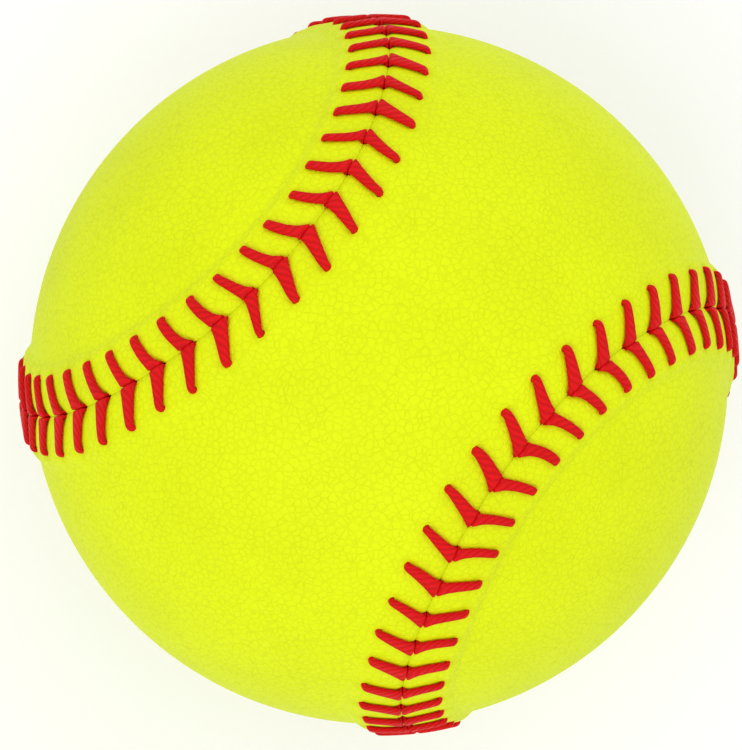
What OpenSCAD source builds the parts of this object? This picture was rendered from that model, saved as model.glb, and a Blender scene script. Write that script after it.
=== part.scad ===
// Stitched softball: a wound core under two leather panels, sewn with two waxed threads.
// The centre of the ball is the origin, and Z goes through the waists of both panels.

/* [Ball] */
// Circumference over the smooth leather
circumference = 304.8; // [296:0.1:312]

/* [Cover] */
// Thickness of the leather
leather_t = 1.3; // [1.1:0.05:1.6]
// Height of the raised seam over the smooth leather
ridge_h = 0.9; // [0.85:0.05:1.2]
// Width of the raised seam's sloping side
ridge_slope_w = 1.7; // [1.4:0.1:2.6]
// Depth by which the raised band runs into the smooth leather at its foot
ridge_sink = 0.35; // [0.25:0.05:0.4]
// Gap between the panels' edges midway between two stitches
seam_gap = 0.2; // [0.1:0.05:0.4]
// Gap between the panels' edges where the threads dive between them
notch_gap = 1.8; // [1.7:0.1:2]
// Drop of the leather's edge at the seam line
edge_drop = 0.25; // [0.1:0.05:0.4]
// Width of the rolled strip along the leather's edge
edge_roll = 1.6; // [1.2:0.1:2]

/* [Seam line] */
// Width of a panel's waist between its two seam lines
waist_w = 40.8; // [36:0.2:44]
// Radius of the seam line round the tip of a lobe, over the leather
tip_r = 35.6; // [34:0.2:37]
// Length of the seam line that has the tip's radius
tip_len = 39.4; // [30:0.2:46]

/* [Stitching] */
// Number of stitches, which is also the number of holes in each panel
stitch_count = 96; // [88:8:104]
// Distance from the seam line to the stitch holes
hole_inset = 5.2; // [4.8:0.1:5.8]
// Corner to corner size of a lozenge stitch hole
hole_w = 1.7; // [1.6:0.1:1.9]
// Least width of flat leather on each side of a stitch hole
hole_land = 0.25; // [0.2:0.05:0.6]
// Width of a thread where it crosses the leather
thread_w = 1.9; // [1.4:0.1:2.2]
// Thickness of a thread where it crosses the leather
thread_t = 0.7; // [0.5:0.05:0.8]
// Width of a thread in the holes and between the panels
thread_hole_w = 0.8; // [0.6:0.05:0.9]
// Thickness of a thread under the leather
thread_under_t = 0.56; // [0.4:0.02:0.6]
// Distance along the seam between the two threads where they dive past each other
thread_pass = 0.9; // [0.85:0.05:1]

/* [Inside] */
// Diameter of the moulded cork and rubber core
core_d = 76; // [60:1:84]
// Thickness of the latex coat on the winding
coat_t = 0.3; // [0.2:0.05:0.5]
// Thickness of the cement film under each panel
cement_t = 0.1; // [0.05:0.05:0.2]

/* [Hidden] */
$fn = 96;

// Air between a thread and the surface that it lies on
thread_clear = 0.05;
// Air under a thread in the seam's tunnel, which a straight run takes up on the round ball
tunnel_clear = 0.14;
// Overlap of the smooth leather and the raised band, measured in from the band's foot
band_lap = 0.7;
// Distance from the band's foot to the edge of the cement film
film_inset = 0.6;
// Number of sides of a thread
thread_sides = 6;
// Share of the last hidden run that each end of a thread covers
tail_share = 0.35;
// Size of the panel cutters, as a share of the ball's radius
cutter_share = 1.4;

// Radii from the centre of the ball outwards
ball_r = circumference / (2 * PI);
leather_in_r = ball_r - leather_t;
cement_in_r = leather_in_r - cement_t;
coat_in_r = cement_in_r - coat_t;

// A length over the leather as an angle at the centre, in degrees
function arc_angle(len) = len / ball_r * 180 / PI;
function unit(v) = v / norm(v);
// The vector v turned about the unit axis k
function turned(v, k, a) = v * cos(a) + cross(k, v) * sin(a) + k * (k * v) * (1 - cos(a));

// The seam line is four equal strands. The first runs from the X axis to the Y axis round one lobe:
// a shoulder arc, the tip arc and a mirrored shoulder arc, which meet without a corner.
start_point = [1, 0, 0];
function from_waist(a) = [sin(a) / sqrt(2), sin(a) / sqrt(2), cos(a)];
waist_angle = arc_angle(waist_w / 2);
tip_rho = arc_angle(tip_r);
tip_turn = tip_len / (ball_r * sin(tip_rho)) * 180 / PI;
tip_axis = from_waist(waist_angle + tip_rho);
joint_point = turned(from_waist(waist_angle), tip_axis, tip_turn / 2);
to_tip_axis = unit(tip_axis - joint_point * (joint_point * tip_axis));
shoulder_rho = atan2(1 - joint_point * start_point, to_tip_axis * start_point);
shoulder_axis = joint_point * cos(shoulder_rho) + to_tip_axis * sin(shoulder_rho);
function spoke(v, k) = unit(v - k * (k * v));
shoulder_turn = acos(spoke(start_point, shoulder_axis) * spoke(joint_point, shoulder_axis));
shoulder_len = shoulder_turn * PI / 180 * ball_r * sin(shoulder_rho);
strand_len = 2 * shoulder_len + tip_len;
pitch = 4 * strand_len / stitch_count;

// A frame on the seam line: place, direction of travel and direction away from the lobe
function arc_frame(from, k, rho, len) =
    let (p = turned(from, k, -len / (ball_r * sin(rho)) * 180 / PI))
    [p, cross(p, k) / sin(rho), (p * cos(rho) - k) / sin(rho)];
function swapped(v) = [v[1], v[0], v[2]];
function strand_frame(s) =
    s > strand_len / 2
        ? let (f = strand_frame(strand_len - s)) [swapped(f[0]), -swapped(f[1]), swapped(f[2])]
    : s < shoulder_len
        ? arc_frame(start_point, shoulder_axis, shoulder_rho, s)
        : arc_frame(joint_point, tip_axis, tip_rho, s - shoulder_len);
// Each further strand is the one before it, turned a quarter and turned over, so panel a changes sides
function quarter(v, n) = n == 0 ? v : quarter([-v[1], v[0], -v[2]], n - 1);
function seam_frame(s) =
    let (n = floor(s / strand_len), m = ((n % 4) + 4) % 4, f = strand_frame(s - n * strand_len))
    [quarter(f[0], m), quarter(f[1], m), quarter(f[2], m) * (m % 2 == 0 ? 1 : -1)];
// The point at a distance q from the seam line, into panel a, and at radius r
function on_ball(f, q, r) = r * (f[0] * cos(arc_angle(q)) + f[2] * sin(arc_angle(q)));

// The raised band along a panel's edge, with its stitch holes
// Its flat top ends just past the holes, and its foot lies in the smooth leather
hole_from = hole_inset - hole_w / 2 - hole_land;
ridge_top = hole_inset + hole_w / 2 + hole_land;
ridge_foot = ridge_top + ridge_slope_w;
// Each column holds the points of one cell: six outside, six inside, then the hole's corners
band_outer = [
    [notch_gap / 2, ball_r + ridge_h - edge_drop],
    [seam_gap / 2, ball_r + ridge_h - edge_drop],
    [edge_roll, ball_r + ridge_h],
    [hole_from, ball_r + ridge_h],
    [ridge_top, ball_r + ridge_h],
    [ridge_foot, ball_r - ridge_sink]
];
band_inner = [
    [notch_gap / 2, leather_in_r + ridge_h],
    [seam_gap / 2, leather_in_r + ridge_h],
    [edge_roll, leather_in_r + ridge_h],
    [hole_from, leather_in_r + ridge_h],
    [ridge_top, leather_in_r + ridge_h],
    [ridge_foot, leather_in_r + ridge_sink]
];
hole_corner_shares = [[-1, 0], [0, 1], [1, 0], [0, -1]];
layer = len(band_outer);
corners = len(hole_corner_shares);
cell_points = 2 * (layer + corners);
function band_cell(i) =
    let (column = seam_frame((i - 0.5) * pitch), middle = seam_frame(i * pitch))
    concat(
        [for (side = [band_outer, band_inner]) for (k = [0 : layer - 1])
            on_ball(k == 1 ? middle : column, side[k][0], side[k][1])],
        [for (r = [ball_r, leather_in_r]) for (c = hole_corner_shares)
            on_ball(seam_frame(i * pitch + c[1] * hole_w / 2), hole_inset + c[0] * hole_w / 2, r + ridge_h)]
    );
// One cell's faces. Numbers from cell_points up are points of the cell that follows.
function next(k) = k + cell_points;
skin = [
    [0, 1, 2], [1, next(2), 2], [1, next(0), next(2)],
    [2, next(2), next(3)], [2, next(3), 3],
    [4, next(4), next(5)], [4, next(5), 5]
];
hole_skin = [
    [3, next(3), 12], [next(3), next(4), 13], [next(4), 4, 14], [4, 3, 15],
    [next(3), 13, 12], [next(4), 14, 13], [4, 15, 14], [3, 12, 15]
];
edge_skin = [[6, 7, 1], [6, 1, 0], [7, next(6), next(0)], [7, next(0), 1]];
foot_skin = [[5, next(5), next(11)], [5, next(11), 11]];
function is_skin_point(k) = k % cell_points < 2 * layer;
function inward(f) = [for (k = [2 : -1 : 0]) f[k] + (is_skin_point(f[k]) ? layer : corners)];
hole_walls = [for (k = [0 : corners - 1])
    let (a = 2 * layer + k, b = 2 * layer + (k + 1) % corners)
    each [[a, b, b + corners], [a, b + corners, a + corners]]];
cell_faces = concat(skin, hole_skin, edge_skin, foot_skin, hole_walls,
                    [for (f = skin) inward(f)], [for (f = hole_skin) inward(f)]);
function cell_index(i, k) = (i * cell_points + k) % (stitch_count * cell_points);

module band() {
    polyhedron(
        points = [for (i = [0 : stitch_count - 1]) each band_cell(i)],
        faces = [for (i = [0 : stitch_count - 1]) for (f = cell_faces)
            [for (k = [2 : -1 : 0]) cell_index(i, f[k])]]
    );
}

// A cutter with its point at the ball's centre that holds panel a's side, to a distance from the seam
// Its far side is folded along the middle of the panel
module panel_a_side(inset) {
    far = ball_r * cutter_share;
    half = stitch_count / 2;
    tip = 3 * stitch_count / 8;
    edge = [for (i = [0 : stitch_count - 1]) on_ball(seam_frame((tip + i) * pitch), inset, far)];
    fold = [for (i = [1 : half - 1]) far * unit(edge[i] + edge[stitch_count - i])];
    fold_at = stitch_count;
    centre = stitch_count + half - 1;
    polyhedron(
        points = concat(edge, fold, [[0, 0, 0]]),
        faces = concat(
            [for (i = [0 : stitch_count - 1]) [centre, i, (i + 1) % stitch_count]],
            [[1, 0, fold_at], [fold_at, 0, stitch_count - 1]],
            [for (i = [1 : half - 2]) each [
                [i + 1, i, fold_at + i], [fold_at + i, i, fold_at + i - 1],
                [fold_at + i - 1, stitch_count - i, fold_at + i],
                [fold_at + i, stitch_count - i, stitch_count - i - 1]
            ]],
            [[half, half - 1, centre - 1], [half + 1, half, centre - 1]]
        )
    );
}

module shell(outer_r, inner_r) {
    difference() {
        sphere(r = outer_r);
        sphere(r = inner_r);
    }
}

module panel() {
    union() {
        intersection() {
            shell(ball_r, leather_in_r);
            panel_a_side(ridge_foot - band_lap);
        }
        band();
    }
}

module cement_film() {
    intersection() {
        shell(leather_in_r, cement_in_r);
        panel_a_side(ridge_foot + film_inset);
    }
}

// A thread crosses the seam from hole to hole: up through a hole, over the leather to the seam line,
// down between the panels, and under the other panel to the next hole
over_r = ball_r + ridge_h + thread_clear + thread_t / 2;
under_r = cement_in_r + tunnel_clear + thread_under_t / 2;
// Where each ring lies, its half width along the seam, and its half thickness across and outwards
// Corners are mitred, so a ring there leans both ways
thread_rings = [
    [hole_inset, 0, over_r, thread_hole_w / 2, thread_hole_w / 2, thread_t / 2],
    [hole_inset / 2, -pitch / 4, over_r, thread_w / 2, 0, thread_t / 2],
    [0, -pitch / 2, over_r - edge_drop, thread_hole_w / 2, -thread_hole_w / 2, thread_t / 2],
    [0, -pitch / 2, under_r, thread_hole_w / 2, -thread_hole_w / 2, thread_under_t / 2],
    [-hole_inset, -pitch, under_r, thread_hole_w / 2, thread_hole_w / 2, thread_under_t / 2]
];
function is_dive(ring) = ring[0] == 0;
function ring_points(s, ring, side, lead) =
    let (
        f = seam_frame(s + ring[1] + (is_dive(ring) ? lead : 0)),
        c = on_ball(f, side * ring[0], ring[2]),
        out = unit(c),
        in_a = unit(f[2] - out * (f[2] * out))
    )
    [for (k = [0 : thread_sides - 1])
        let (a = k * 360 / thread_sides)
        c + f[1] * ring[3] * cos(a) + (in_a * ring[4] + out * side * ring[5]) * sin(a)];
// A ring of a thread's end, part of the way along the hidden run after a dive
function tail_points(s, side, lead, share) =
    let (dive = thread_rings[3], hole = thread_rings[4])
    ring_points(s, [
        hole[0] * share, dive[1] + (hole[1] - dive[1]) * share + lead * (1 - share), under_r,
        dive[3], 0, dive[5]
    ], side, 0);
module seam_thread(first_side, lead) {
    last = stitch_count - 1;
    rings = concat(
        [tail_points(pitch, -first_side, lead, 1 - tail_share)],
        [ring_points(pitch, thread_rings[4], -first_side, lead)],
        [for (i = [0 : last]) for (k = [0 : 4])
            if (i < last || k < 4)
                ring_points(-i * pitch, thread_rings[k], i % 2 == 0 ? first_side : -first_side, lead)],
        [tail_points(-last * pitch, -first_side, lead, tail_share)]
    );
    count = len(rings);
    polyhedron(
        points = [for (r = rings) each r],
        faces = concat(
            [for (i = [0 : count - 2]) for (k = [0 : thread_sides - 1])
                let (a = i * thread_sides, b = a + thread_sides, n = (k + 1) % thread_sides)
                each [[a + n, a + k, b + n], [b + n, a + k, b + k]]],
            [[for (k = [0 : thread_sides - 1]) k]],
            [[for (k = [thread_sides - 1 : -1 : 0]) (count - 1) * thread_sides + k]]
        )
    );
}

module core() {
    color([0.55, 0.38, 0.24]) sphere(d = core_d);
}

module yarn_winding() {
    color([0.86, 0.84, 0.78]) shell(coat_in_r, core_d / 2);
}

module latex_coat() {
    color([0.93, 0.88, 0.7]) shell(cement_in_r, coat_in_r);
}

module cement_film_a() {
    color([0.8, 0.74, 0.55]) cement_film();
}

module cement_film_b() {
    color([0.8, 0.74, 0.55]) rotate([180, 0, 0]) cement_film();
}

module cover_panel_a() {
    color([0.9, 0.96, 0.08]) panel();
}

module cover_panel_b() {
    color([0.9, 0.96, 0.08]) rotate([180, 0, 0]) panel();
}

module seam_thread_a() {
    color([0.88, 0.1, 0.12]) seam_thread(1, thread_pass / 2);
}

module seam_thread_b() {
    color([0.88, 0.1, 0.12]) seam_thread(-1, -thread_pass / 2);
}

core();
yarn_winding();
latex_coat();
cement_film_a();
cement_film_b();
cover_panel_a();
cover_panel_b();
seam_thread_a();
seam_thread_b();
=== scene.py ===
"""Looks of the stitched softball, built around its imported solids."""

import logging
import math
from dataclasses import dataclass, field
from enum import Enum
from functools import partial
from typing import Any, Mapping

import bpy
import numpy as np
from mathutils import Matrix


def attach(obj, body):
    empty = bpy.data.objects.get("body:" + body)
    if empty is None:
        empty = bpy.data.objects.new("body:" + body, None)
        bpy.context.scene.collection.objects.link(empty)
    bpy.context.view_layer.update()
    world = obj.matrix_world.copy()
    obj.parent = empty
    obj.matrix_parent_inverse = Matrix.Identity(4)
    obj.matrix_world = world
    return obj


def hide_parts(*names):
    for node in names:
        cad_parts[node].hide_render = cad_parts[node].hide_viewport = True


LOG = logging.getLogger("softball")
IMAGE_W, IMAGE_H = 742, 750
MM = 0.001
FULL_TURN = 2 * math.pi
# radius of the smooth ball in mm, which is 304.8 mm round
BALL_R = 304.8 / FULL_TURN

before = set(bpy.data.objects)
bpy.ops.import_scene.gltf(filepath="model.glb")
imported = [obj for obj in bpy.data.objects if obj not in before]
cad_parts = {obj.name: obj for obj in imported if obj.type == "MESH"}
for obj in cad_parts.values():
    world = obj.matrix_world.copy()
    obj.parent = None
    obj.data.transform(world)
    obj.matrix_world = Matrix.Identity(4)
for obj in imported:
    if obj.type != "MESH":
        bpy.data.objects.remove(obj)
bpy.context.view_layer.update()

# steps of edit mode, of which the second merges points closer than 0.1 micrometres
SELECT_ALL = partial(bpy.ops.mesh.select_all, action="SELECT")
WELD = partial(bpy.ops.mesh.remove_doubles, threshold=1e-7)
FACE_OUTWARDS = partial(bpy.ops.mesh.normals_make_consistent, inside=False)

Array = np.ndarray
Piece = bpy.types.Object
Material = bpy.types.Material
Triple = tuple[float, float, float]
Shade = tuple[float, float, float, float]


def srgb(*levels: int) -> Shade:
    """Turn a screen colour into the linear colour that a shader takes.

    Args:
        levels: Red, green and blue from 0 to 255.

    Returns:
        The linear colour with full alpha.
    """
    shares = [level / 255 for level in levels]
    return (*(s / 12.92 if s <= 0.04045 else ((s + 0.055) / 1.055) ** 2.4 for s in shares), 1.0)


def unit(vectors: Array) -> Array:
    """Scale each vector to length one."""
    return vectors / np.linalg.norm(vectors, axis=-1, keepdims=True)


def turned(vector: Array, axis: Array, angle: Array) -> Array:
    """Turn a vector about a unit axis.

    Args:
        vector: The vector.
        axis: The unit axis.
        angle: One or many angles in radians.

    Returns:
        One turned vector for each angle.
    """
    angle = np.asarray(angle)[..., None]
    return (vector * np.cos(angle) + np.cross(axis, vector) * np.sin(angle)
            + axis * (axis @ vector) * (1 - np.cos(angle)))


class Side(Enum):
    """The two sides of the seam line, each with its panel."""

    A = 1
    B = -1


@dataclass(frozen=True)
class SeamFrames:
    """Places on the seam line with their two directions along the ball's surface."""

    place: Array
    along: Array
    into_a: Array


@dataclass(frozen=True, eq=False)
class SeamLine:
    """The closed seam line: four equal strands, each a tip arc between two shoulder arcs. Sizes in mm."""

    ball_r: float = BALL_R
    waist_w: float = 40.8
    tip_r: float = 35.6
    tip_len: float = 39.4
    stitch_count: int = 96
    shoulder_len: float = field(init=False)
    strand_len: float = field(init=False)
    arcs: tuple[tuple[Array, Array, float], ...] = field(init=False)

    def __post_init__(self) -> None:
        """Work out the arcs from the sizes."""
        waist, tip_rho = self.waist_w / 2 / self.ball_r, self.tip_r / self.ball_r
        tip_axis, start = self._from_waist(waist + tip_rho), np.array([1.0, 0, 0])
        tip_turn = self.tip_len / (self.ball_r * math.sin(tip_rho))
        joint = turned(self._from_waist(waist), tip_axis, tip_turn / 2)
        inward = unit(tip_axis - joint * (joint @ tip_axis))
        shoulder_rho = math.atan2(1 - joint @ start, inward @ start)
        shoulder_axis = joint * math.cos(shoulder_rho) + inward * math.sin(shoulder_rho)
        spokes = [unit(p - shoulder_axis * (shoulder_axis @ p)) for p in (start, joint)]
        shoulder_len = math.acos(spokes[0] @ spokes[1]) * self.ball_r * math.sin(shoulder_rho)
        object.__setattr__(self, "shoulder_len", shoulder_len)
        object.__setattr__(self, "strand_len", 2 * shoulder_len + self.tip_len)
        object.__setattr__(self, "arcs", ((start, shoulder_axis, shoulder_rho), (joint, tip_axis, tip_rho)))

    @staticmethod
    def _from_waist(angle: float) -> Array:
        """Give the point at an angle from the waist's middle, towards the first lobe."""
        level = math.sin(angle) / math.sqrt(2)
        return np.array([level, level, math.cos(angle)])

    @property
    def pitch(self) -> float:
        """Length of seam line from one stitch to the next."""
        return 4 * self.strand_len / self.stitch_count

    def frames(self, travel: Array) -> SeamFrames:
        """Give the frames at some distances along the seam line.

        Args:
            travel: Distances in mm, of any shape.

        Returns:
            The frames, one for each distance.
        """
        travel = np.asarray(travel, float)
        strand = np.floor(travel / self.strand_len).astype(int)
        local = travel - strand * self.strand_len
        mirrored = local > self.strand_len / 2
        local = np.where(mirrored, self.strand_len - local, local)
        on_tip = (local >= self.shoulder_len)[..., None]
        parts = []
        for (start, axis, rho), lead in zip(self.arcs, (0.0, self.shoulder_len)):
            place = turned(start, axis, -(local - lead) / (self.ball_r * math.sin(rho)))
            parts.append((place, np.cross(place, axis) / math.sin(rho),
                          (place * math.cos(rho) - axis) / math.sin(rho)))
        place, along, into_a = (np.where(on_tip, tip, shoulder) for shoulder, tip in zip(*parts))
        swap, flip = mirrored[..., None], [1, 0, 2]
        place = np.where(swap, place[..., flip], place)
        along = np.where(swap, -along[..., flip], along)
        into_a = np.where(swap, into_a[..., flip], into_a)
        for turn in range(1, 4):
            later = (strand % 4 >= turn)[..., None]
            place, along, into_a = (np.where(later, np.stack([-v[..., 1], v[..., 0], -v[..., 2]], -1), v)
                                    for v in (place, along, into_a))
        into_a = into_a * np.where(strand % 2 == 0, 1, -1)[..., None]
        return SeamFrames(place, along, into_a)

    def on_ball(self, travel: Array, across: Array, height: Array) -> Array:
        """Give points over the smooth ball.

        Args:
            travel: Distances along the seam line in mm.
            across: Distances from the seam line in mm, into panel a where positive.
            height: Heights over the smooth leather in mm.

        Returns:
            The points in mm.
        """
        frames, angle = self.frames(travel), np.asarray(across)[..., None] / self.ball_r
        return ((self.ball_r + np.asarray(height))[..., None]
                * (frames.place * np.cos(angle) + frames.into_a * np.sin(angle)))


@dataclass(frozen=True, eq=False)
class Stitching:
    """Where each stitch lies, with the small unevenness of hand sewing. Sizes in mm."""

    seam: SeamLine
    hole_inset: float = 5.2
    dive_lead: float = 2.3
    lead: float = 0.45
    uneven: float = 0.12
    plump_spread: float = 0.07
    seed: int = 12
    hole_along: Array = field(init=False)
    hole_across: Array = field(init=False)
    dive_along: Array = field(init=False)
    bow: Array = field(init=False)
    plump: Array = field(init=False)

    # share of the hole's distance, leading edge and trailing edge of a leg, along the seam from its hole
    EDGES = {
        Side.A: ((0.0, -3.45, -0.72), (0.07, -3.28, -0.70), (0.14, -3.05, -0.62), (0.27, -2.58, -0.42),
                 (0.5, -1.90, -0.02), (0.75, -1.20, 0.38), (0.9, -0.80, 0.54), (1.0, -0.57, 0.57)),
        Side.B: ((0.0, -3.40, -0.80), (0.07, -2.98, -0.74), (0.14, -2.62, -0.62), (0.27, -2.08, -0.36),
                 (0.5, -1.48, 0.06), (0.75, -1.00, 0.42), (0.9, -0.72, 0.55), (1.0, -0.57, 0.57)),
    }

    def __post_init__(self) -> None:
        """Draw the unevenness of each stitch, for side a and then side b."""
        draw, shape = np.random.RandomState(self.seed), (2, self.seam.stitch_count)
        for name, spread in (("hole_along", self.uneven), ("hole_across", self.uneven),
                             ("dive_along", self.uneven / 2), ("bow", self.uneven),
                             ("plump", self.plump_spread)):
            object.__setattr__(self, name, np.clip(draw.normal(0, spread, shape), -2 * spread, 2 * spread))

    def _of(self, name: str, index: Array, side: Side) -> Array:
        """Look up one kind of unevenness for some stitches on one side."""
        return getattr(self, name)[(1 - side.value) // 2][np.asarray(index) % self.seam.stitch_count]

    def hole(self, index: Array, side: Side) -> tuple[Array, Array]:
        """Give the distances of holes from their even places.

        Args:
            index: Stitch numbers along the seam line.
            side: The side of the seam line.

        Returns:
            The distances along the seam and away from it.
        """
        return self._of("hole_along", index, side), self._of("hole_across", index, side)

    def dive(self, index: Array, side: Side) -> Array:
        """Give how far along the seam, from its hole, a leg dives between the panels."""
        lead = np.where((np.asarray(index) % 2 == 0) == (side is Side.A), self.lead, -self.lead)
        return lead - self.dive_lead + self._of("dive_along", index, side)

    def leg(self, index: Array, side: Side, across: Array) -> tuple[Array, Array]:
        """Give the middle and the half width of legs where they lie so far from the seam.

        Args:
            index: Stitch numbers along the seam line.
            side: The side of the seam line.
            across: Distances from the seam line.

        Returns:
            The middles' distances along the seam from their holes' even places, and the half widths.
        """
        along, out = self.hole(index, side)
        share = np.clip(np.asarray(across) / (self.hole_inset + out), 0, 1)
        places, leading, trailing = zip(*self.EDGES[side])
        front, back = np.interp(share, places, leading), np.interp(share, places, trailing)
        bow = self._of("bow", index, side) * np.sin(np.pi * share)
        settled = along * share + self._of("dive_along", index, side) * (1 - share)
        return (front + back) / 2 + settled + bow, (back - front) / 2 * (1 + self._of("plump", index, side))


class Mesher:
    """Small steps of modelling that the pieces share."""

    @staticmethod
    def grid(name: str, columns: int, rows: int) -> tuple[Piece, Array, Array]:
        """Add a flat grid to be shaped.

        Args:
            name: Name of the piece.
            columns: Number of cells along the grid.
            rows: Number of cells across it.

        Returns:
            The object, and each point's column and row as whole numbers.
        """
        bpy.ops.object.select_all(action="DESELECT")
        bpy.ops.mesh.primitive_grid_add(x_subdivisions=columns, y_subdivisions=rows, size=2, calc_uvs=True)
        piece = bpy.context.object
        piece.name = piece.data.name = name
        flat = Mesher.points(piece)
        column = np.rint((flat[:, 0] + 1) / 2 * columns).astype(int)
        row = np.rint((flat[:, 1] + 1) / 2 * rows).astype(int)
        return piece, column, row

    @staticmethod
    def points(piece: Piece) -> Array:
        """Read a mesh's points.

        Args:
            piece: The piece.

        Returns:
            One row for each point, in metres.
        """
        flat = np.empty(len(piece.data.vertices) * 3)
        piece.data.vertices.foreach_get("co", flat)
        return flat.reshape(-1, 3)

    @staticmethod
    def place(piece: Piece, points: Array) -> None:
        """Put a mesh's points where they belong, in metres."""
        piece.data.vertices.foreach_set("co", np.asarray(points, float).ravel())
        piece.data.update()

    @staticmethod
    def paint(piece: Piece, name: str, values: Array) -> None:
        """Give each point of a mesh a value of its own."""
        layer = piece.data.attributes.new(name, "FLOAT", "POINT")
        layer.data.foreach_set("value", values.astype(np.float32))

    @staticmethod
    def select_only(*pieces: Piece) -> None:
        """Select some pieces and nothing else, with the first one active.

        Args:
            pieces: The pieces.
        """
        bpy.ops.object.select_all(action="DESELECT")
        for piece in pieces:
            piece.select_set(True)
        bpy.context.view_layer.objects.active = pieces[0]

    @staticmethod
    def select_points(piece: Piece, chosen: Array) -> None:
        """Select some points of a mesh and nothing else, ready for edit mode.

        Args:
            piece: The piece.
            chosen: True for each point to select.
        """
        data = piece.data
        data.vertices.foreach_set("select", np.asarray(chosen, bool))
        corners = np.empty(len(data.edges) * 2, int)
        data.edges.foreach_get("vertices", corners)
        data.edges.foreach_set("select", np.asarray(chosen)[corners.reshape(-1, 2)].all(1))
        data.polygons.foreach_set("select", [all(chosen[v] for v in f.vertices) for f in data.polygons])

    @staticmethod
    def edit(piece: Piece, *steps: Any) -> None:
        """Carry out some steps on a piece in edit mode.

        Args:
            piece: The piece.
            steps: Callables without arguments, such as operators with their options bound.
        """
        Mesher.select_only(piece)
        bpy.ops.object.mode_set(mode="EDIT")
        bpy.ops.mesh.select_mode(type="VERT")
        for step in steps:
            step()
        bpy.ops.object.mode_set(mode="OBJECT")

    @staticmethod
    def finish(piece: Piece, crease_degrees: float) -> None:
        """Shade a piece smooth, except across its creases, and report it.

        Args:
            piece: The piece.
            crease_degrees: The least angle of a crease.
        """
        Mesher.select_only(piece)
        bpy.ops.object.shade_smooth_by_angle(angle=math.radians(crease_degrees))
        LOG.info("%s: %d points, %d faces", piece.name, len(piece.data.vertices), len(piece.data.polygons))


@dataclass
class Wire:
    """A value on its way through a material, with plain arithmetic."""

    graph: "Graph"
    socket: bpy.types.NodeSocket

    def _math(self, operation: str, first: Any, second: Any) -> "Wire":
        """Join two values by one Math node."""
        return self.graph.add("ShaderNodeMath", {"operation": operation}, {0: first, 1: second})

    def __add__(self, other: Any) -> "Wire":
        """Add."""
        return self._math("ADD", self, other)

    __radd__ = __add__

    def __sub__(self, other: Any) -> "Wire":
        """Take away."""
        return self._math("SUBTRACT", self, other)

    def __rsub__(self, other: Any) -> "Wire":
        """Take away from a number."""
        return self._math("SUBTRACT", other, self)

    def __mul__(self, other: Any) -> "Wire":
        """Multiply."""
        return self._math("MULTIPLY", self, other)

    __rmul__ = __mul__

    def __pow__(self, other: Any) -> "Wire":
        """Raise to a power."""
        return self._math("POWER", self, other)

    def clamped(self) -> "Wire":
        """Keep the value from 0 to 1."""
        return self.graph.add("ShaderNodeClamp", {}, {0: self, 1: 0.0, 2: 1.0})

    def between(self, low: float, high: float) -> "Wire":
        """Turn a range of values into 0 to 1, with soft ends."""
        return self.graph.add("ShaderNodeMapRange", {"interpolation_type": "SMOOTHSTEP"},
                              {0: self, 1: low, 2: high})


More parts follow.
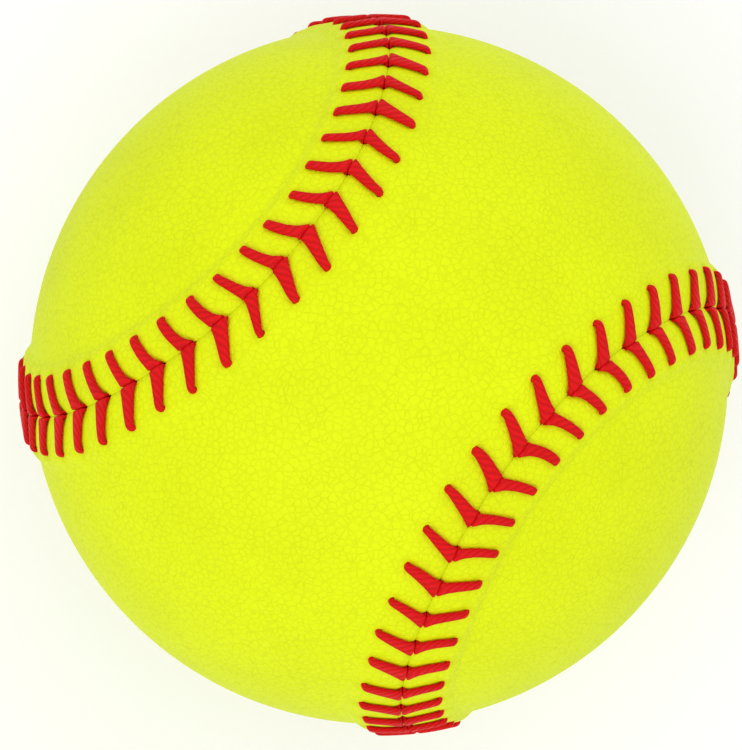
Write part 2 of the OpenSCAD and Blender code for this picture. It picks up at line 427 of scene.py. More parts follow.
class Graph:
    """The nodes of one material, or of the surroundings."""

    def __init__(self, name: str, makes_world: bool = False) -> None:
        """Start an empty material or world.

        Args:
            name: Its name.
            makes_world: True for a world.
        """
        self.owner = (bpy.data.worlds if makes_world else bpy.data.materials).new(name)
        self.owner.use_nodes = True
        self.tree = self.owner.node_tree
        self.tree.nodes.clear()

    def add(self, kind: str, settings: Mapping[str, Any], sockets: Mapping[Any, Any],
            output: int | str = 0) -> Wire:
        """Add one node.

        Args:
            kind: The node's type.
            settings: Its settings, which are set first.
            sockets: Values or wires for its sockets.
            output: The output to go on from.

        Returns:
            The wire from that output.
        """
        node = self.tree.nodes.new(kind)
        for name, value in settings.items():
            setattr(node, name, value)
        for name, value in sockets.items():
            if isinstance(value, Wire):
                self.tree.links.new(value.socket, node.inputs[name])
            else:
                node.inputs[name].default_value = value
        return Wire(self, node.outputs[output])

    def function(self, operation: str, value: Wire) -> Wire:
        """Run one value through a Math node, such as a sine."""
        return self.add("ShaderNodeMath", {"operation": operation}, {0: value})

    def wave(self, phase: Wire) -> Wire:
        """Turn a phase in radians into a wave from 0 to 1."""
        return self.function("SINE", phase) * 0.5 + 0.5

    def place(self) -> Wire:
        """Give the place on the piece, in metres."""
        return self.add("ShaderNodeTexCoord", {}, {}, "Object")

    def attribute(self, name: str) -> Wire:
        """Give a piece's own painted value."""
        return self.add("ShaderNodeAttribute", {"attribute_name": name}, {}, "Fac")

    def noise(self, place: Wire, size_mm: float, detail: float = 2.0, rough: float = 0.5,
              output: int | str = 0) -> Wire:
        """Give soft noise whose blotches have a size in mm."""
        return self.add("ShaderNodeTexNoise", {}, {"Vector": place, "Scale": 1 / (size_mm * MM),
                                                   "Detail": detail, "Roughness": rough}, output)

    def cells(self, place: Wire, size_mm: float, feature: str = "F1", output: str = "Distance") -> Wire:
        """Give a pattern of cells whose width is in mm."""
        return self.add("ShaderNodeTexVoronoi", {"feature": feature},
                        {"Vector": place, "Scale": 1 / (size_mm * MM)}, output)

    def mix(self, share: Any, first: Any, second: Any, blend: str = "MIX") -> Wire:
        """Mix two colours.

        Args:
            share: Share of the second colour.
            first: The first colour.
            second: The second colour.
            blend: How they are mixed.

        Returns:
            The wire of the mixed colour.
        """
        return self.add("ShaderNodeMix", {"data_type": "RGBA", "blend_type": blend},
                        {0: share, 6: first, 7: second}, 2)

    def seen_by(self, *kinds: str) -> Wire:
        """Tell rays of some kinds from all others.

        Args:
            kinds: The kinds, such as Camera.

        Returns:
            The wire of 1 for those kinds and 0 for others.
        """
        rays = self.tree.nodes.new("ShaderNodeLightPath")
        seen: Any = 0.0
        for kind in kinds:
            ray = Wire(self, rays.outputs[f"Is {kind} Ray"])
            seen = self.add("ShaderNodeMath", {"operation": "MAXIMUM"}, {0: ray, 1: seen})
        return seen

    def surface(self, colour: Wire, rough: Wire, specular: float, height: Wire, depth_mm: float) -> Material:
        """Finish the material with one surface shader.

        Args:
            colour: Its colour.
            rough: Its roughness.
            specular: Its specular level, one for the whole surface.
            height: Heights from 0 to 1 that bend its normal.
            depth_mm: Depth of those heights in mm.

        Returns:
            The finished material.
        """
        normal = self.add("ShaderNodeBump", {}, {"Distance": depth_mm * MM, "Height": height})
        self.add_output(self.add("ShaderNodeBsdfPrincipled", {}, {
            "Base Color": colour, "Roughness": rough, "Specular IOR Level": specular, "Normal": normal}))
        return self.owner

    def add_output(self, shader: Wire, kind: str = "ShaderNodeOutputMaterial") -> None:
        """Lead a shader to the output."""
        node = self.tree.nodes.new(kind)
        self.tree.links.new(shader.socket, node.inputs["Surface"])


@dataclass(frozen=True)
class LeatherFinish:
    """Optic-yellow dyed leather with a fine pebble grain; painted shade darkens it between the pebbles and in
    the creases by the seam, where it is also rougher.
    """

    colour: Shade = srgb(232, 248, 6)
    # a darker tone for random blotches, also used as painted shade in the creases
    dark_tone_and_shade: Shade = srgb(217, 229, 2)
    # painted shade for the crevices between the pebbles
    shaded_crevice: Shade = srgb(186, 196, 0)
    grain_mm: float = 1.0
    valley_share: float = 0.15
    patch_mm: float = 0.9
    warp_mm: float = 0.7
    warp_size_mm: float = 2.2
    pore_mm: float = 0.22
    wrinkle_mm: float = 3.2
    tone_mm: float = 14.0
    depth_mm: float = 0.16
    roughness: float = 0.5
    specular: float = 0.14

    def material(self) -> Material:
        """Build the material."""
        g = Graph("optic_yellow_leather")
        place = g.place()
        drift = g.noise(place, self.warp_size_mm, output="Color")
        bent = g.add("ShaderNodeVectorMath", {"operation": "MULTIPLY_ADD"},
                     {0: drift, 1: (self.warp_mm * MM,) * 3, 2: place})
        pebble = g.cells(bent, self.grain_mm)
        top = g.cells(bent, self.grain_mm, "DISTANCE_TO_EDGE").between(0.0, self.valley_share)
        # the crevices between the pebbles, which are darkened below as painted shade
        shaded_crevice = (1 - top) * g.noise(place, self.patch_mm)
        pores = g.noise(place, self.pore_mm, 3.0, 0.6)
        wrinkles = g.noise(place, self.wrinkle_mm, 4.0, 0.55)
        tone = g.noise(place, self.tone_mm)
        hollow_shade = g.attribute("hollow_shade")
        height = pores * 0.2 + wrinkles * 0.4 - pebble * 0.5 - shaded_crevice * 0.3
        colour = g.mix(tone.between(0.35, 0.75) * 0.3, self.colour, self.dark_tone_and_shade)
        # painted shade: the dimples, the grooves and the rolled edge by the seam are darkened
        colour = g.mix((hollow_shade * 0.55).clamped(), colour, self.dark_tone_and_shade)
        # painted shade: the crevices between the pebbles are darkened
        colour = g.mix(shaded_crevice * (0.1 + wrinkles * 0.5), colour, self.shaded_crevice)
        rough = self.roughness + pores * 0.12 + hollow_shade * 0.1 + shaded_crevice * 0.1 - tone * 0.05
        return g.surface(colour, rough, self.specular, height, self.depth_mm)


@dataclass(frozen=True)
class WaxedThreadFinish:
    """Red waxed thread of twisted plies."""

    colour: Shade = srgb(232, 13, 18)
    # a darker tone for random blotches, also used as painted shade between the plies
    dark_tone_and_shade: Shade = srgb(180, 6, 10)
    plies: int = 5
    twists: float = 10.0
    fibres: int = 26
    fibre_twists: float = 30.0
    wobble_mm: float = 1.3
    wax_mm: float = 0.5
    tone_mm: float = 6.0
    depth_mm: float = 0.14
    roughness: float = 0.42
    specular: float = 0.14

    def material(self) -> Material:
        """Build the material. The thread's own map runs round it in U and along its stitches in V."""
        g = Graph("red_waxed_thread")
        uv = g.add("ShaderNodeUVMap", {"uv_map": "thread_run"}, {})
        turn = g.add("ShaderNodeSeparateXYZ", {}, {0: uv}, "X")
        run = g.add("ShaderNodeSeparateXYZ", {}, {0: uv}, "Y")
        place = g.place()
        wobble = g.noise(place, self.wobble_mm) * 0.5
        ply = g.wave((turn * self.plies + run * self.twists + wobble) * FULL_TURN)
        fibre = g.wave((turn * self.fibres + run * self.fibre_twists + wobble * 2) * FULL_TURN)
        wax = g.noise(place, self.wax_mm, 3.0)
        height = ply * 0.8 + fibre * 0.14 + wax * 0.12
        # painted shade: the gaps between the plies are darkened
        colour = g.mix(((1 - ply) ** 2.0 * 0.55).clamped(), self.colour, self.dark_tone_and_shade)
        colour = g.mix(g.noise(place, self.tone_mm).between(0.4, 0.8) * 0.18, colour, self.dark_tone_and_shade)
        rough = self.roughness + wax * 0.18 + (1 - ply) * 0.1
        return g.surface(colour, rough, self.specular, height, self.depth_mm)


@dataclass(frozen=True)
class CorkFinish:
    """Moulded core: cork granules bound in rubber."""

    cork: Shade = srgb(176, 126, 78)
    binder: Shade = srgb(70, 46, 34)
    granule_mm: float = 2.4
    speck_mm: float = 0.7
    depth_mm: float = 0.18
    roughness: float = 0.78
    specular: float = 0.3

    def material(self) -> Material:
        """Build the material."""
        g = Graph("cork_and_rubber")
        place = g.place()
        edge = g.cells(place, self.granule_mm, "DISTANCE_TO_EDGE").between(0.02, 0.12)
        grain = g.cells(place, self.granule_mm, output="Color")
        speck = g.noise(place, self.speck_mm, 3.0)
        cork = g.mix(0.22, self.cork, grain, "MULTIPLY")
        cork = g.mix(speck.between(0.45, 0.7) * 0.4, cork, self.binder)
        colour, rough = g.mix(edge, self.binder, cork), self.roughness + speck * 0.12
        return g.surface(colour, rough, self.specular, edge * 0.7 + speck * 0.3, self.depth_mm)


@dataclass(frozen=True)
class YarnFinish:
    """Wound yarn: crossing layers of turns over the whole ball."""

    colour: Shade = srgb(226, 218, 198)
    # painted shade in the grooves between the turns
    shade: Shade = srgb(150, 140, 118)
    turn_mm: float = 1.1
    drift_mm: float = 9.0
    patch_mm: float = 11.0
    fuzz_mm: float = 0.25
    depth_mm: float = 0.4
    roughness: float = 0.85
    specular: float = 0.2
    ball_mm: float = 46.7
    pole_shares: tuple[float, float] = (0.6, 0.72)
    axes: tuple[Triple, ...] = ((0.18, 0.28, 0.94), (0.94, 0.19, -0.28), (-0.27, 0.89, 0.36),
                                (0.63, -0.63, 0.45), (0.55, 0.60, -0.58))

    def material(self) -> Material:
        """Build the material. Each layer of turns runs round an axis of its own and shows in patches."""
        g = Graph("wound_yarn")
        place = g.place()
        pole_starts, pole_full = (share * self.ball_mm * MM for share in self.pole_shares)
        height: Any = 0.0
        bare: Any = 1.0
        for number, axis in enumerate(self.axes):
            across = g.add("ShaderNodeVectorMath", {"operation": "DOT_PRODUCT"}, {0: place, 1: axis}, "Value")
            pole = g.function("ABSOLUTE", across).between(pole_starts, pole_full)
            drift = g.noise(place, self.drift_mm + number) * 3.0
            turn = g.wave(across * (FULL_TURN / (self.turn_mm * MM)) + drift)
            patch = g.noise(place, self.patch_mm + 3.0 * number, 1.0).between(0.47, 0.53)
            shown = (patch + bare).clamped() * (1 - pole)
            height, bare = height * (1 - shown) + turn * shown, bare * (1 - shown)
        fuzz = g.noise(place, self.fuzz_mm, 4.0)
        # painted shade: the grooves between the turns are darkened
        colour, rough = g.mix(height.clamped(), self.shade, self.colour), self.roughness + fuzz * 0.1
        return g.surface(colour, rough, self.specular, height * 0.8 + fuzz * 0.2, self.depth_mm)


@dataclass(frozen=True)
class LatexFinish:
    """Dried latex: creamy, with runs and small pits."""

    colour: Shade = srgb(238, 226, 182)
    thin: Shade = srgb(214, 198, 148)
    run_mm: float = 7.0
    pit_mm: float = 1.8
    depth_mm: float = 0.15
    roughness: float = 0.36
    specular: float = 0.5

    def material(self) -> Material:
        """Build the material."""
        g = Graph("dried_latex")
        place = g.place()
        runs = g.noise(place, self.run_mm, 4.0, 0.6)
        pits = g.cells(place, self.pit_mm).between(0.05, 0.35)
        colour, rough = g.mix(runs.between(0.35, 0.7), self.thin, self.colour), self.roughness + runs * 0.2
        return g.surface(colour, rough, self.specular, runs * 0.6 + pits * 0.4, self.depth_mm)


@dataclass(frozen=True)
class CementFinish:
    """Dried contact cement, brushed on."""

    colour: Shade = srgb(206, 170, 96)
    thick: Shade = srgb(168, 122, 52)
    stroke_mm: float = 5.0
    squeeze: Triple = (1.0, 5.0, 1.0)
    blob_mm: float = 2.2
    depth_mm: float = 0.06
    roughness: float = 0.4
    specular: float = 0.45

    def material(self) -> Material:
        """Build the material."""
        g = Graph("brushed_cement")
        place = g.add("ShaderNodeMapping", {}, {"Vector": g.place(), "Scale": self.squeeze})
        strokes = g.noise(place, self.stroke_mm, 4.0, 0.6)
        blobs = g.noise(g.place(), self.blob_mm, 3.0)
        colour = g.mix(strokes.between(0.35, 0.7), self.colour, self.thick)
        rough, height = self.roughness + blobs * 0.25, strokes * 0.7 + blobs * 0.3
        return g.surface(colour, rough, self.specular, height, self.depth_mm)


@dataclass
class CoverPanel:
    """One figure-eight leather panel with its raised, holed and puckered edge. Sizes in mm."""

    seam: SeamLine
    stitching: Stitching
    side: Side
    leather_t: float = 1.3
    ridge_h: float = 0.9
    ridge_top: float = 5.9
    ridge_foot: float = 7.85
    edge_drop: float = 0.3
    edge_roll: float = 1.3
    roll_power: float = 2.6
    seam_gap: float = 0.03
    notch_depth: float = 0.62
    notch_share: float = 0.62
    notch_shift: float = 0.1
    notch_reach: float = 2.35
    hole_l: float = 1.18
    hole_w: float = 0.92
    hole_reach: float = 1.1
    dimple: float = 0.15
    dimple_r: float = 0.95
    groove: float = 0.1
    groove_margin: float = 0.25
    swell_share: float = 0.5
    crease_half_w: float = 0.6
    crease_share: float = 0.7
    # how much the dimples, the grooves and the rolled edge darken the leather as painted shade, and roughen
    # it
    hollow_shade_shares: Triple = (0.9, 0.5, 0.8)
    crease_degrees: float = 50
    cells_per_stitch: int = 8
    lobe_span: int = 88
    rows: tuple[float, ...] = (0, 0.06, 0.2, 0.42, 0.75, 1.2, 1.75, 2.35, 2.95, 3.55, 4.1, 4.65, 5.2,
                               5.75, 6.25, 6.65, 7.05, 7.45, 7.85, 8.4, 9.1)

    @property
    def columns(self) -> int:
        """Number of grid cells along the whole seam line."""
        return self.cells_per_stitch * self.seam.stitch_count

    def build(self) -> Piece:
        """Model the panel.

        Returns:
            The closed panel, in metres.
        """
        name = f"leather_cover_{self.side.name.lower()}"
        piece, column, row = Mesher.grid(name, self.columns, len(self.rows) - 1)
        column = column % self.columns
        travel, across, edge = self._lay_out(column, row)
        height, wall, hollow_shade = self._relief(travel, across, edge)
        Mesher.place(piece, self.seam.on_ball(travel, across * self.side.value, height) * MM)
        Mesher.paint(piece, "wall", wall)
        # painted shade for the dimples, the grooves and the rolled edge, read by the leather material
        Mesher.paint(piece, "hollow_shade", hollow_shade)
        holes = (column % self.cells_per_stitch == 0) & (row == self.rows.index(self.stitching.hole_inset))
        Mesher.select_points(piece, holes)
        Mesher.edit(piece, partial(bpy.ops.mesh.delete, type="VERT"))
        self._add_middle(piece)
        self._give_wall(piece)
        Mesher.finish(piece, self.crease_degrees)
        return piece

    def _lay_out(self, column: Array, row: Array) -> tuple[Array, Array, Array]:
        """Spread the grid's points over the band along the seam.

        Args:
            column: Each point's column.
            row: Each point's row.

        Returns:
            Each point's distance along the seam, its distance away from it, and that of the cut edge.
        """
        cell = self.seam.pitch / self.cells_per_stitch
        travel, across = column * cell, np.array(self.rows)[row]
        stitch = np.rint(column / self.cells_per_stitch).astype(int)
        diving = np.rint((travel + self.stitching.dive_lead) / self.seam.pitch).astype(int)
        middle, half_w = self.stitching.leg(diving, self.side, 0.0)
        from_notch = travel - diving * self.seam.pitch - middle - self.notch_shift
        edge = self.seam_gap / 2 + self.notch_depth * np.exp(-(from_notch / (half_w * self.notch_share)) ** 4)
        across = np.where(across < self.notch_reach, edge + across * (1 - edge / self.notch_reach), across)
        hole_row = self.rows.index(self.stitching.hole_inset)
        step_c, step_r = column - stitch * self.cells_per_stitch, row - hole_row
        ring = (np.abs(step_c) <= 1) & (np.abs(step_r) <= 1) & ((step_c != 0) | (step_r != 0))
        angle = np.arctan2(step_r, step_c)
        hole_travel = stitch * self.seam.pitch
        travel = np.where(ring, hole_travel + self.hole_l / 2 * np.cos(angle), travel)
        across = np.where(ring, self.stitching.hole_inset + self.hole_w / 2 * np.sin(angle), across)
        along, out = self.stitching.hole(stitch, self.side)
        off_hole = (travel - hole_travel) ** 2 + (across - self.stitching.hole_inset) ** 2
        near = np.exp(-off_hole / (2 * self.hole_reach ** 2))
        return travel + along * near, across + out * near, edge

    def _relief(self, travel: Array, across: Array, edge: Array) -> tuple[Array, Array, Array]:
        """Work out the raised edge, its roll, and the dips that the stitches pull into it.

        Args:
            travel: Distances along the seam.
            across: Distances from the seam.
            edge: Distances of the cut edge from the seam.

        Returns:
            Heights over the smooth leather, the leather's thickness, and how much painted shade darkens and
            roughens it, from 0 to 1.
        """
        fall = np.clip((across - self.ridge_top) / (self.ridge_foot - self.ridge_top), 0, 1)
        rise = 1 - fall * fall * (3 - 2 * fall)
        roll = self.edge_drop * np.clip(1 - (across - edge) / self.edge_roll, 0, 1) ** self.roll_power
        pitch, inset = self.seam.pitch, self.stitching.hole_inset
        dimple, groove = np.zeros_like(travel), np.zeros_like(travel)
        behind = np.clip((across - inset) / (self.ridge_foot - inset), 0, 1)
        for step in (-1, 0, 1):
            stitch = np.rint(travel / pitch).astype(int) + step
            along, out = self.stitching.hole(stitch, self.side)
            off_along = travel - stitch * pitch - along
            dimple += np.exp(-(np.hypot(off_along, across - inset - out) / self.dimple_r) ** 2)
            pull = self.crease_share * np.exp(-(off_along / self.crease_half_w) ** 2) * np.sin(np.pi * behind)
            middle, half_w = self.stitching.leg(stitch, self.side, across)
            under = np.exp(-((travel - stitch * pitch - middle) / (half_w + self.groove_margin)) ** 4)
            groove += np.where(across > inset, pull, under)
        groove = np.clip(groove, 0, 1)
        swell = self.swell_share * np.sin(np.pi * np.clip(across / self.ridge_top, 0, 1))
        height = rise * self.ridge_h - roll - self.dimple * dimple + self.groove * (swell - groove) * rise
        by_dimple, by_groove, by_roll = self.hollow_shade_shares
        # painted shade: how much the leather's colour is darkened in the dimples, the grooves and the rolled
        # edge
        hollow_shade = np.clip(by_dimple * dimple + by_groove * groove + by_roll * roll / self.edge_drop, 0, 1)
        return height, self.leather_t - roll, hollow_shade

    def _add_middle(self, piece: Piece) -> None:
        """Add the panel's smooth middle, a grid from lobe tip to lobe tip that meets the band's last row.

        Args:
            piece: The band along the seam.
        """
        long_span = self.columns // 2 - self.lobe_span
        middle, along, over = Mesher.grid("panel_middle", long_span, self.lobe_span)
        # the lobes' tips lie at the odd eighths of the seam line
        tip = (3 if self.side is Side.A else 1) * self.columns // 8
        start, back = tip + self.lobe_span // 2, tip - self.lobe_span // 2
        cell, last = self.seam.pitch / self.cells_per_stitch, self.rows[-1] * self.side.value

        def ring(index: Array) -> Array:
            """Give points of the band's last row."""
            travel = (index % self.columns) * cell
            return self.seam.on_ball(travel, np.full(len(travel), last), np.zeros(len(travel)))

        steps, spans = np.arange(long_span + 1), np.arange(self.lobe_span + 1)
        near, far = ring(start + steps), ring(back - steps)
        first, second = ring(start - spans), ring(start + long_span + spans)
        u, v = (along / long_span)[:, None], (over / self.lobe_span)[:, None]
        corners = (1 - u) * ((1 - v) * near[0] + v * far[0]) + u * ((1 - v) * near[-1] + v * far[-1])
        points = (1 - v) * near[along] + v * far[along] + (1 - u) * first[over] + u * second[over] - corners
        points = unit(points) * self.seam.ball_r * MM
        Mesher.place(middle, points)
        Mesher.paint(middle, "wall", np.full(len(points), self.leather_t))
        # no painted shade over the smooth middle
        Mesher.paint(middle, "hollow_shade", np.zeros(len(points)))
        Mesher.select_only(piece, middle)
        bpy.ops.object.join()
        Mesher.edit(piece, SELECT_ALL, WELD, FACE_OUTWARDS)

    def _give_wall(self, piece: Piece) -> None:
        """Double the skin into leather with an inner side, and cut edges at the seam and the holes.

        Args:
            piece: The skin.
        """
        Mesher.edit(piece, SELECT_ALL, bpy.ops.mesh.extrude_region)
        points = Mesher.points(piece)
        outer = np.empty(len(points), bool)
        piece.data.vertices.foreach_get("select", outer)
        wall = np.empty(len(points), np.float32)
        piece.data.attributes["wall"].data.foreach_get("value", wall)
        points[~outer] -= unit(points[~outer]) * (wall[~outer, None] * MM)
        Mesher.place(piece, points)
        piece.data.attributes.remove(piece.data.attributes["wall"])
        Mesher.edit(piece, SELECT_ALL, FACE_OUTWARDS)


@dataclass
class SeamThread:
    """One waxed thread, sewn in and out of both panels all round the ball. Sizes in mm."""

    seam: SeamLine
    stitching: Stitching
    first_side: Side
    sides: int = 14
    steps: int = 2
    squareness: float = 0.78
    tunnel_h: float = -0.98
    tunnel_half_w: float = 0.40
    tunnel_half_t: float = 0.28
    tunnel_shares: tuple[float, float] = (0.35, 0.65)
    leg_run: float = 0.5
    tunnel_run: float = 0.4
    seam_clear: float = 0.005
    press_above: float = 0.15
    press_within: float = 2.5
    crease_degrees: float = 60

    # share of the hole's distance, height, half thickness; the width is the leg's own
    LEG = (
        (1.01, 0.50, 0.37), (1.00, 0.90, 0.38), (0.965, 1.15, 0.39), (0.90, 1.24, 0.40), (0.78, 1.25, 0.40),
        (0.64, 1.25, 0.40), (0.50, 1.25, 0.40), (0.37, 1.25, 0.40), (0.25, 1.25, 0.40), (0.16, 1.25, 0.40),
        (0.10, 1.26, 0.38), (0.056, 1.24, 0.31), (0.056, 0.92, 0.29),
    )
    # share of the hole's distance, height, half width, half thickness, share of the way to the dive
    DIVE = (
        (0.056, 0.60, 1.20, 0.29, 0.0), (0.054, 0.28, 0.94, 0.28, 0.45), (0.035, -0.02, 0.52, 0.28, 0.95),
        (0.0, -0.36, 0.42, 0.30, 1.0), (-0.035, -0.74, 0.41, 0.30, 1.0), (-0.11, -0.98, 0.40, 0.28, 1.0),
    )
    # the same without the last share, where the thread comes up through its hole
    RISE = ((0.92, -0.98, 0.40, 0.28), (0.985, -0.82, 0.42, 0.30), (1.01, -0.40, 0.48, 0.34))

    def build(self) -> Piece:
        """Model the thread.

        Returns:
            The closed thread, in metres.
        """
        rings = self._smoothed(self._controls())
        name = f"waxed_thread_{self.first_side.name.lower()}"
        piece, column, row = Mesher.grid(name, len(rings["travel"]) - 1, self.sides)
        middle, width_way, thick_way = self._ring_frames(rings)
        angle = FULL_TURN * (row % self.sides) / self.sides
        wide, thick = (np.sign(part) * np.abs(part) ** self.squareness
                       for part in (np.cos(angle), np.sin(angle)))
        points = (middle[column] + width_way[column] * (rings["half_w"][column] * wide)[:, None]
                  + thick_way[column] * (rings["half_t"][column] * thick)[:, None])
        Mesher.place(piece, self._pressed_at_seam(points, column, rings) * MM)
        self._map_run(piece, points - middle[column], column, row, rings)
        Mesher.edit(piece, SELECT_ALL, WELD, SELECT_ALL,
                    partial(bpy.ops.mesh.fill_holes, sides=self.sides), FACE_OUTWARDS)
        Mesher.finish(piece, self.crease_degrees)
        return piece

    def _controls(self) -> Array:
        """Lay the thread's control rings, stitch after stitch.

        Returns:
            One row for each ring: distance along the seam and across it, height, half width, half
            thickness, and the stitches sewn so far.
        """
        rings: list[tuple[float, ...]] = []
        pitch, inset = self.seam.pitch, self.stitching.hole_inset
        for number in range(self.seam.stitch_count):
            side = Side.A if (number % 2 == 0) == (self.first_side is Side.A) else Side.B
            start = -number * pitch
            along, out = self.stitching.hole(-number, side)
            dive, reach = self.stitching.dive(-number, side), side.value * (inset + out)
            rings += [(start + along, reach * share, *sizes, number) for share, *sizes in self.RISE]
            for share, height, half_t in self.LEG:
                middle, half_w = self.stitching.leg(-number, side, (inset + out) * min(share, 1.0))
                done = number + self.leg_run * (1 - share)
                rings.append((start + middle, reach * share, height, half_w, half_t, done))
            for share, height, half_w, half_t, on_way in self.DIVE:
                place, done = start + middle + (dive - middle) * on_way, number + self.leg_run * (1 - share)
                rings.append((place, reach * share, height, half_w, half_t, done))
            other = Side(-side.value)
            next_along, next_out = self.stitching.hole(-number - 1, other)
            for share in self.tunnel_shares:
                place = start + dive + (next_along - pitch - dive) * share
                done = number + self.leg_run + self.tunnel_run * share
                rings.append((place, other.value * (inset + next_out) * share, self.tunnel_h,
                              self.tunnel_half_w, self.tunnel_half_t, done))
        return np.array(rings[:-1], float)

    def _smoothed(self, controls: Array) -> dict[str, Array]:
        """Run a smooth curve through the control rings.

        Args:
            controls: The control rings.

        Returns:
            The rings' values by name.
        """
        padded = np.vstack([controls[:1], controls, controls[-1:]])
        p0, p1, p2, p3 = (padded[i:len(padded) - 3 + i][:, None] for i in range(4))
        t = (np.arange(self.steps) / self.steps)[None, :, None]
        curve = 0.5 * (2 * p1 + (p2 - p0) * t + (2 * p0 - 5 * p1 + 4 * p2 - p3) * t ** 2
                       + (3 * p1 - 3 * p2 + p3 - p0) * t ** 3)
        curve = np.vstack([curve.reshape(-1, controls.shape[1]), controls[-1:]])
        return dict(zip(("travel", "across", "height", "half_w", "half_t", "run"), curve.T))

    def _ring_frames(self, rings: Mapping[str, Array]) -> tuple[Array, Array, Array]:
        """Work out each ring's middle and its two directions, with the width along the seam.

        Args:
            rings: The rings' values.

        Returns:
            The middles in mm, the directions of the width and those of the thickness.
        """
        middle = self.seam.on_ball(rings["travel"], rings["across"], rings["height"])
        width_way = self.seam.frames(rings["travel"]).along
        return middle, width_way, unit(np.cross(unit(np.gradient(middle, axis=0)), width_way))

    def _pressed_at_seam(self, points: Array, column: Array, rings: Mapping[str, Array]) -> Array:
        """Press the legs flat against each other where they meet over the seam line.

        Args:
            points: The thread's points in mm.
            column: The ring of each point.
            rings: The rings' values.

        Returns:
            The pressed points in mm.
        """
        away = self.seam.frames(rings["travel"]).into_a * np.where(rings["across"] < 0, -1.0, 1.0)[:, None]
        on_top = (rings["height"] > self.press_above) & (np.abs(rings["across"]) < self.press_within)
        off = (points * away[column]).sum(1)
        push = np.where(on_top[column], np.clip(self.seam_clear - off, 0, None), 0)
        return points + away[column] * push[:, None]

    def _map_run(self, piece: Piece, offsets: Array, column: Array, row: Array,
                 rings: Mapping[str, Array]) -> None:
        """Write the thread's own map: round it in U, and along its stitches in V.

        Args:
            piece: The thread, still a grid.
            offsets: Each point's offset from the middle of its ring, in mm.
            column: Each point's ring.
            row: Each point's place round the ring.
            rings: The rings' values.
        """
        way = np.gradient(self.seam.on_ball(rings["travel"], rings["across"], rings["height"]), axis=0)
        stride = np.gradient(rings["run"]) / (way ** 2).sum(1)
        run = rings["run"][column] + (offsets * way[column]).sum(1) * stride[column]
        layer = piece.data.uv_layers.active
        layer.name = "thread_run"
        corner = np.empty(len(piece.data.loops), int)
        piece.data.loops.foreach_get("vertex_index", corner)
        values = np.stack([row[corner] / self.sides, run[corner]], 1)
        layer.data.foreach_set("uv", values.astype(np.float32).ravel())


@dataclass(frozen=True)
class Lamp:
    """A soft square light, with its place and width in metres and its power in watts."""

    name: str
    place: Triple
    width: float
    power: float

    def build(self) -> None:
        """Add the light, facing the ball."""
        bpy.ops.object.light_add(type="AREA", location=self.place)
        light = bpy.context.object
        light.name = self.name
        light.data.size, light.data.energy = self.width, self.power
        light.rotation_euler = (-light.location).to_track_quat("-Z", "Y").to_euler()


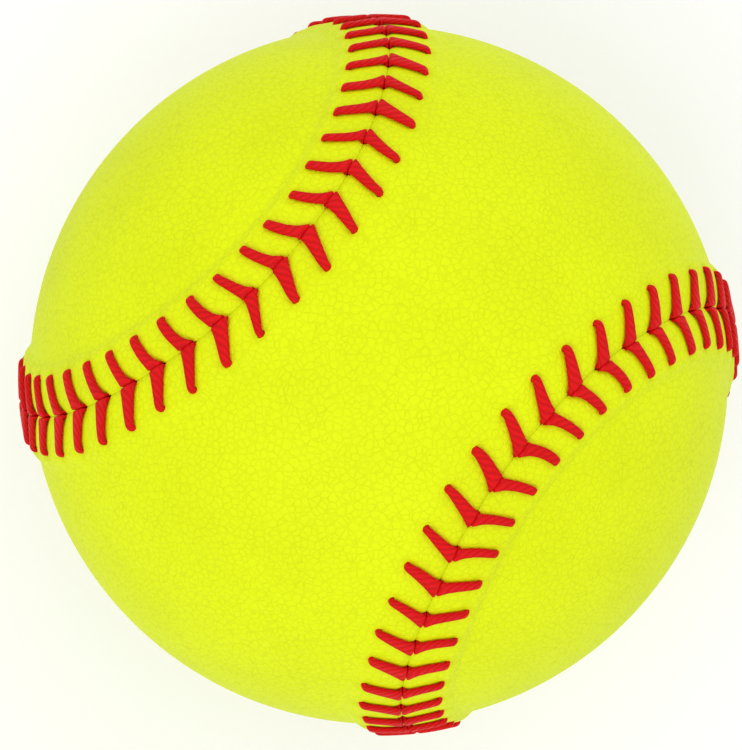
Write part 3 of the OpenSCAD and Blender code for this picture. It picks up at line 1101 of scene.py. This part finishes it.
@dataclass(frozen=True)
class Studio:
    """A pale floor under the ball, soft even light, and the camera. Sizes of the floor in metres."""

    ball_r: float = BALL_R
    # turn of the ball against a view from straight above it, an axis times radians
    look: Triple = (-0.095, 0.108, 0.093)
    radii_away: float = 20.0
    clip: tuple[float, float] = (0.01, 20.0)
    limb_px: float = 349.2
    middle_px: tuple[float, float] = (378.9, 374.8)
    lamps: tuple[Lamp, ...] = (Lamp("key_light", (-0.9, 0.7, 1.5), 1.6, 9.4),
                               Lamp("fill_light", (1.2, -0.8, 1.1), 1.8, 4.6))
    surround: float = 0.83
    floor_w: float = 12.0
    floor_tone: float = 0.7
    glow: float = 0.34
    far_glow: float = 0.09
    far_range: tuple[float, float] = (0.3, 2.5)

    def build(self) -> None:
        """Add the camera, the lights, the surroundings and the floor."""
        self._camera()
        for lamp in self.lamps:
            lamp.build()
        self._surroundings()
        self._floor()

    def _camera(self) -> None:
        """Add a long-lens camera that sees the ball from the photo's direction."""
        bpy.ops.object.camera_add()
        camera = bpy.context.object
        turn = Matrix.Rotation(math.sqrt(sum(v * v for v in self.look)), 3, self.look)
        upright = Matrix(((0, -1, 0), (1, 0, 0), (0, 0, 1)))
        away = (turn @ upright).transposed()
        place = away.col[2] * self.radii_away * self.ball_r * MM
        camera.matrix_world = Matrix.Translation(place) @ away.to_4x4()
        long_side = max(IMAGE_W, IMAGE_H)
        focal_px = self.limb_px * math.sqrt(self.radii_away ** 2 - 1)
        camera.data.lens = focal_px / long_side * camera.data.sensor_width
        camera.data.shift_x = (IMAGE_W / 2 - self.middle_px[0]) / long_side
        camera.data.shift_y = (self.middle_px[1] - IMAGE_H / 2) / long_side
        camera.data.clip_start, camera.data.clip_end = self.clip
        bpy.context.scene.camera = camera

    def _surroundings(self) -> None:
        """Light the ball evenly from all round, and show white to the camera and in reflections."""
        g = Graph("studio", makes_world=True)
        bpy.context.scene.world = g.owner
        seen = g.seen_by("Camera", "Glossy", "Transmission")
        strength = g.add("ShaderNodeMapRange", {}, {"Value": seen, "To Min": self.surround, "To Max": 1.0})
        light = g.add("ShaderNodeBackground", {}, {"Color": (1, 1, 1, 1), "Strength": strength})
        g.add_output(light, "ShaderNodeOutputWorld")

    def _floor(self) -> None:
        """Add a plain pale floor that keeps the ball's shadow and reads white around it."""
        bpy.ops.mesh.primitive_plane_add(size=self.floor_w, location=(0, 0, -self.ball_r * MM))
        floor = bpy.context.object
        floor.name = "floor"
        g = Graph("pale_floor")
        matte = g.add("ShaderNodeBsdfDiffuse", {}, {"Color": (self.floor_tone,) * 3 + (1,)})
        away = g.add("ShaderNodeVectorMath", {"operation": "LENGTH"}, {0: g.place()}, "Value")
        glow = self.glow + away.between(*self.far_range) * self.far_glow
        strength = g.seen_by("Camera", "Glossy") * glow
        glow = g.add("ShaderNodeEmission", {}, {"Strength": strength})
        g.add_output(g.add("ShaderNodeAddShader", {}, {0: matte, 1: glow}))
        floor.data.materials.append(g.owner)


class Softball:
    """The whole ball: cover, threads and the finishes of what lies inside."""

    def __init__(self) -> None:
        """Settle the seam and its stitches."""
        self.seam = SeamLine()
        self.stitching = Stitching(self.seam)

    def build(self) -> None:
        """Build and dress every piece."""
        leather, thread = LeatherFinish().material(), WaxedThreadFinish().material()
        for side in Side:
            panel = CoverPanel(self.seam, self.stitching, side).build()
            self._dress(panel, leather, f"cover_panel_{side.name.lower()}")
            run = SeamThread(self.seam, self.stitching, side).build()
            self._dress(run, thread, f"seam_thread_{side.name.lower()}")
        cement = CementFinish().material()
        for node, material in (("core", CorkFinish().material()), ("yarn_winding", YarnFinish().material()),
                               ("latex_coat", LatexFinish().material()), ("cement_film_a", cement),
                               ("cement_film_b", cement)):
            self._coat(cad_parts[node], material)

    def _dress(self, piece: Piece, material: Material, node: str) -> None:
        """Give a new piece its material and tie it to the frame.

        Args:
            piece: The new piece.
            material: Its material.
            node: The solid that it replaces.
        """
        self._coat(piece, material)
        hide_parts(node)
        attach(piece, "root")

    @staticmethod
    def _coat(piece: Piece, material: Material) -> None:
        """Put one material on a piece or solid, and report it.

        Args:
            piece: The piece or solid.
            material: Its material.
        """
        piece.data.materials.clear()
        piece.data.materials.append(material)
        LOG.info("%s: %s", piece.name, material.name)


def main() -> None:
    """Build the scene in order."""
    logging.basicConfig(level=logging.INFO, format="%(name)s: %(message)s")
    bpy.ops.object.select_all(action="DESELECT")
    bpy.context.scene.view_settings.view_transform = "Standard"
    Studio().build()
    Softball().build()
    bpy.context.view_layer.update()


if __name__ == "__main__":
    main()
